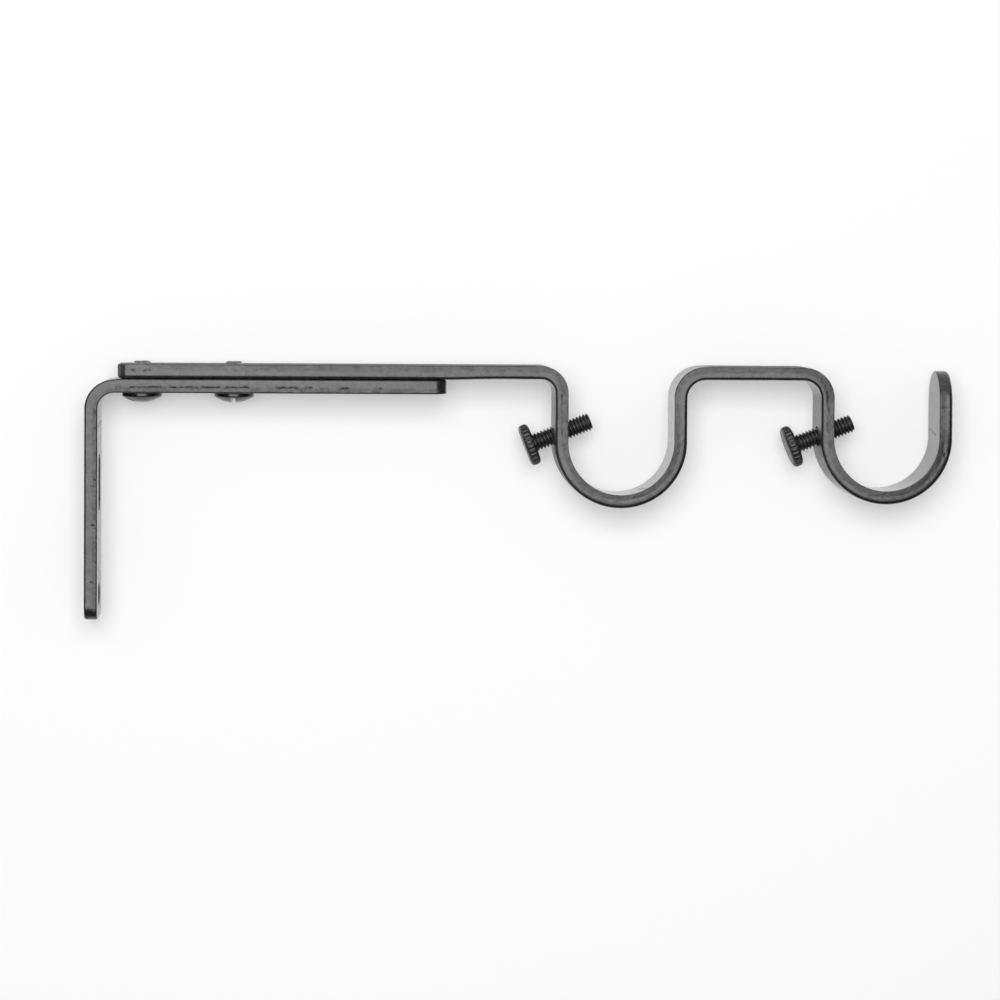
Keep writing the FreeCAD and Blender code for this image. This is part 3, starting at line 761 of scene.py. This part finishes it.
# A place on the bracket's arm is this much more than its distance from the wall
ARM_PLACE = LEG_RUN + bracket_line.parts[1][1] - (THICK / 2 + BRACKET_BEND)
torn_from_wall = [
    (7.1, 8.2), (10.4, 17.4), (19.4, 25.2), (26.7, 30.1), (31.9, 36.8), (43.2, 44.8), (45.7, 47.5),
    (49.8, 51.1), (58.0, 59.0), (66.5, 67.2)]
torn_spans = [(ARM_PLACE + first, ARM_PLACE + last) for first, last in torn_from_wall]
bracket_marks = torn_line(torn_spans, up=-0.5, spread=0.07, deep=0.13)
bracket_marks += [
    (46.7, -0.8, 0.25, 0.25, 0.12), (43.2, -0.85, 0.2, 0.2, 0.14), (31.5, -0.95, 0.3, 0.3, 0.18),
    (30.1, -0.5, 0.15, 0.7, 0.1), (21.3, -0.45, 0.25, 0.35, 0.16), (20.6, -0.9, 0.12, 0.6, 0.12),
    (12.9, -1.2, 0.2, 0.35, 0.12), (8.4, -0.25, 0.3, 0.3, 0.12), (39.6, 0.2, 0.12, 0.8, 0.06)]
# A thin light band across the leg's front face just above its dark lower end, a painted highlight, and a
# long faint lightening of the arm's front face
bracket_rubs_and_sheen = [(3.6, 1.0, 0.25, 1.0, 0.2), (82.0, 0.95, 36.0, 0.6, 0.11)]
bracket = FlatStrap(bracket_line.length, row_step=0.25, edges=(0.5, 0.4), corner=2.8)
# The round wall hole, the slotted wall hole and the long slot for the adjusting screws
for first, last, radius in ((5.4, 5.4, 2.5), (26.7, 34.7, 2.5), (61.67, 122.97, 2.35)):
    bracket.hole(first, last, radius)
strap_object("wall_bracket_strap", "wall_bracket", "wall_side", strap_finish, bracket, bracket_line,
             border=-0.3, rough_side=LOWER, marks=bracket_marks, rubs_and_sheen=bracket_rubs_and_sheen,
             scratches=[(LOWER, 44.0, 0.05, -7.0, 5.0)], swell=(54.6, 140.0, 0.23), dull=[])

arm_line = CentreLine(7.4, 50.9, 0, [
    ("run", 95.4), ("bend", -90, 4.7), ("run", 10.9), ("bend", 180, 13.5), ("run", 9.9), ("bend", -90, 5.7),
    ("run", 22.2), ("bend", -90, 5.5), ("run", 9.0), ("bend", 180, 13.5), ("run", 15.2)])
arm_marks = [
    (3.5, 0.1, 0.26, 0.22, 0.24), (6.2, 0.0, 0.24, 0.24, 0.26), (7.1, 0.1, 0.24, 0.2, 0.22),
    (17.2, 0.1, 0.2, 0.15, 0.12), (29.0, -0.1, 0.2, 0.15, 0.12)]
arm_marks += torn_line([(103.5, 118.0)], up=0.2, spread=0.15, deep=0.06)
arm_marks += torn_line([(204.5, 214.0), (246.0, 256.0)], up=0.3, spread=0.3, deep=0.05)
arm_marks += [(264.0, 0.3, 0.16, 1.1, 0.12), (253.6, -0.3, 0.22, 0.22, 0.16)]
# Rub marks by the adjusting screws' tips, and a long faint light patch from the wall end, which is painted
# sheen on the arm's front face
arm_rubs_and_sheen = [
    (4.5, 0.9, 2.8, 0.8, 0.3), (26.5, 1.0, 2.6, 0.5, 0.22), (14.0, 0.3, 26.0, 1.2, 0.12),
    (120.5, -0.2, 2.2, 0.5, 0.18)]
# A row of light spots along the middle of the first cradle's bottom, a painted highlight streak
arm_rubs_and_sheen += [(place, 0.1, 1.2, 0.16, 0.3) for place in np.arange(130.0, 148.0, 1.2).tolist()]
arm_scratches = [
    (UPPER, 258.2, 0.1, -3.5, 6.2), (UPPER, 140.5, -0.2, -6.0, 1.0), (LOWER, 190.0, 0.4, -5.0, 3.0)]
# The top of the arm and of the bridge and the outer sides of the cradles' first walls are duller, and the
# insides of both cradles glossier
arm_dull = [
    (-10.0, 93.0, UPPER, 1.0), (179.0, 196.0, UPPER, 1.0), (105.0, 124.0, LOWER, 0.5),
    (208.0, 222.0, LOWER, 0.35), (124.0, 166.0, UPPER, -0.2), (226.0, 275.0, UPPER, -0.2)]
arm = FlatStrap(arm_line.length, row_step=0.3, edges=(0.2, 0.75), corner=1.7, cut=0.8, round_tip=True)
# The holes of the two adjusting screws, then the tilted ones in the cradles' walls
for place in (5.2, 26.0):
    arm.hole(place, place, 2.1)
for place, radius in ((111.983, 2.12), (214.187, 2.2)):
    arm.hole(place, place, radius, lean=-math.tan(TILT))
strap_object("cradle_arm_strap", "cradle_arm", "pole_side", strap_finish, arm, arm_line,
             border=0.0, rough_side=UPPER, marks=arm_marks, rubs_and_sheen=arm_rubs_and_sheen, scratches=arm_scratches,
             swell=(-10.0, 74.0, -0.23), dull=arm_dull)

adjusting_screw("inner_adjusting_screw", "adjusting_screw_inner", screw_finish, reach=12.6, slot_turn=28)
adjusting_screw("outer_adjusting_screw", "adjusting_screw_outer", screw_finish, reach=33.4, slot_turn=86)
thumbscrew("inner_knurled_screw", "thumbscrew_inner", "inner_clamp", screw_finish,
           wall_x=107.5, tip_reach=7.5, turn=0.05)
thumbscrew("outer_knurled_screw", "thumbscrew_outer", "outer_clamp", screw_finish,
           wall_x=167.9, tip_reach=7.1, turn=0.12)

# The middle of the part, which the lamps point at, and the sheet of paper just behind it
MIDDLE = (98, 0, 23)
PAPER_Y = 7.56
PAPER_FAR = 2500


def white_paper():
    """Paper that takes shadows and looks a little brighter than it is lit.

    It is clear from behind, and to the light of the lamps behind it.
    """
    material, tree = new_material("white_paper")
    tree.nodes.clear()
    output = tree.nodes.new("ShaderNodeOutputMaterial")
    sheet = tree.nodes.new("ShaderNodeBsdfDiffuse")
    sheet.inputs["Color"].default_value = (0.97, 0.97, 0.97, 1)
    glow = tree.nodes.new("ShaderNodeEmission")
    glow.inputs["Strength"].default_value = 1.0
    clear = tree.nodes.new("ShaderNodeBsdfTransparent")
    rays = tree.nodes.new("ShaderNodeLightPath")
    camera_glow = value_node(tree, "MULTIPLY", rays.outputs["Is Camera Ray"], 0.33)
    glossy_glow = value_node(tree, "MULTIPLY", rays.outputs["Is Glossy Ray"], 0.7)
    glows = value_node(tree, "MAXIMUM", camera_glow, glossy_glow)
    behind = tree.nodes.new("ShaderNodeNewGeometry").outputs["Backfacing"]
    see_through = value_node(tree, "MAXIMUM", behind, rays.outputs["Is Shadow Ray"])
    lit = shader_mix(tree, glows, sheet.outputs[0], glow.outputs[0])
    tree.links.new(shader_mix(tree, see_through, lit, clear.outputs[0]), output.inputs["Surface"])
    return material


def stage_piece(name, mesh, material):
    """Puts a mesh on the stage, which isn't part of the object."""
    piece = bpy.data.objects.new(name, mesh)
    bpy.context.scene.collection.objects.link(piece)
    mesh.materials.append(material)
    return piece


paper_mesh = bpy.data.meshes.new("paper")
paper_corners = [(-1, -1), (1, -1), (1, 1), (-1, 1)]
paper_corners = [(x * PAPER_FAR * MM, PAPER_Y * MM, z * PAPER_FAR * MM) for x, z in paper_corners]
paper_mesh.from_pydata(paper_corners, [], [(0, 1, 2, 3)])
stage_piece("paper", paper_mesh, white_paper())


def dim_room():
    """Walls that grow lighter with height, as round a table under one large soft light."""
    material, tree = new_material("dim_room")
    tree.nodes.clear()
    output = tree.nodes.new("ShaderNodeOutputMaterial")
    glow = tree.nodes.new("ShaderNodeEmission")
    place = tree.nodes.new("ShaderNodeSeparateXYZ")
    tree.links.new(tree.nodes.new("ShaderNodeTexCoord").outputs["Object"], place.inputs[0])
    light = range_node(tree, place.outputs["Z"], (0.5, 0.8), (0.02, 1.3))
    tree.links.new(light, glow.inputs["Strength"])
    tree.links.new(glow.outputs[0], output.inputs["Surface"])
    return material


# The room is a tube round the line of sight, in metres, which only reflections see
ROOM_RADIUS, ROOM_DEPTH = 0.8, 1.6
ROOM_MIDDLE = (0.098, -0.79, 0.023)
room_mesh = bpy.data.meshes.new("room")
work = bmesh.new()
bmesh.ops.create_cone(work, cap_ends=False, segments=64, radius1=ROOM_RADIUS, radius2=ROOM_RADIUS,
                      depth=ROOM_DEPTH)
bmesh.ops.rotate(work, verts=work.verts, matrix=Matrix.Rotation(math.pi / 2, 3, "X"))
bmesh.ops.translate(work, verts=work.verts, vec=ROOM_MIDDLE)
work.to_mesh(room_mesh)
work.free()
room = stage_piece("room", room_mesh, dim_room())
room.visible_camera = False
room.visible_shadow = False
room.visible_diffuse = False

# The world is white to the camera and in reflections, and lights the part from all round at a lower level
world = bpy.data.worlds.new("white_world")
bpy.context.scene.world = world
world.use_nodes = True
world_tree = world.node_tree
background = world_tree.nodes["Background"]
background.inputs["Color"].default_value = (1, 1, 1, 1)
world_rays = world_tree.nodes.new("ShaderNodeLightPath").outputs
seen = value_node(world_tree, "MAXIMUM", world_rays["Is Camera Ray"], world_rays["Is Glossy Ray"])
world_tree.links.new(range_node(world_tree, seen, (0, 1), (0.3, 1.0)), background.inputs["Strength"])


def soft_light(name, place, size, watts):
    """A square soft lamp that points at the middle of the part."""
    lamp = bpy.data.lights.new(name, "AREA")
    lamp.shape = "RECTANGLE"
    lamp.size = size * MM
    lamp.size_y = size * MM
    lamp.energy = watts
    light = bpy.data.objects.new(name, lamp)
    bpy.context.scene.collection.objects.link(light)
    place, aim = Vector(place) * MM, Vector(MIDDLE) * MM
    light.location = place
    light.rotation_euler = (aim - place).to_track_quat("-Z", "Y").to_euler()
    light.visible_camera = False
    return light


soft_light("key_softbox", (18, -925, 242), 560, 7.6).visible_glossy = False
soft_light("front_softbox", (20, -950, 200), 900, 9.2).visible_diffuse = False
soft_light("rear_softbox_left", (-520, 560, 300), 420, 6)
soft_light("rear_softbox_right", (560, 560, 300), 420, 5)

# The camera stands where the fitted perspective of the photograph puts it
CAMERA = (53.82, -764.22, 73.48)
YAW, PITCH_DOWN, ROLL = 0.0433764923, 0.0349979210, 0.00643295829
SENSOR = 36
FOCAL_WIDTHS = 3.36235813
forward = Vector((math.sin(YAW) * math.cos(PITCH_DOWN), math.cos(YAW) * math.cos(PITCH_DOWN),
                  -math.sin(PITCH_DOWN)))
right = Vector((math.cos(YAW), -math.sin(YAW), 0))
up = right.cross(forward)
right, up = (right * math.cos(ROLL) + up * math.sin(ROLL),
             up * math.cos(ROLL) - right * math.sin(ROLL))
lens = bpy.data.cameras.new("photo_camera")
lens.sensor_width = SENSOR
lens.lens = FOCAL_WIDTHS * SENSOR
lens.shift_x = 0.03
lens.shift_y = -0.11
lens.clip_start = 0.01
lens.clip_end = 20
camera = bpy.data.objects.new("photo_camera", lens)
bpy.context.scene.collection.objects.link(camera)
turn = Matrix((right, up, -forward)).transposed().to_4x4()
camera.matrix_world = Matrix.Translation(Vector(CAMERA) * MM) @ turn
bpy.context.scene.camera = camera
bpy.context.scene.view_settings.view_transform = "Standard"
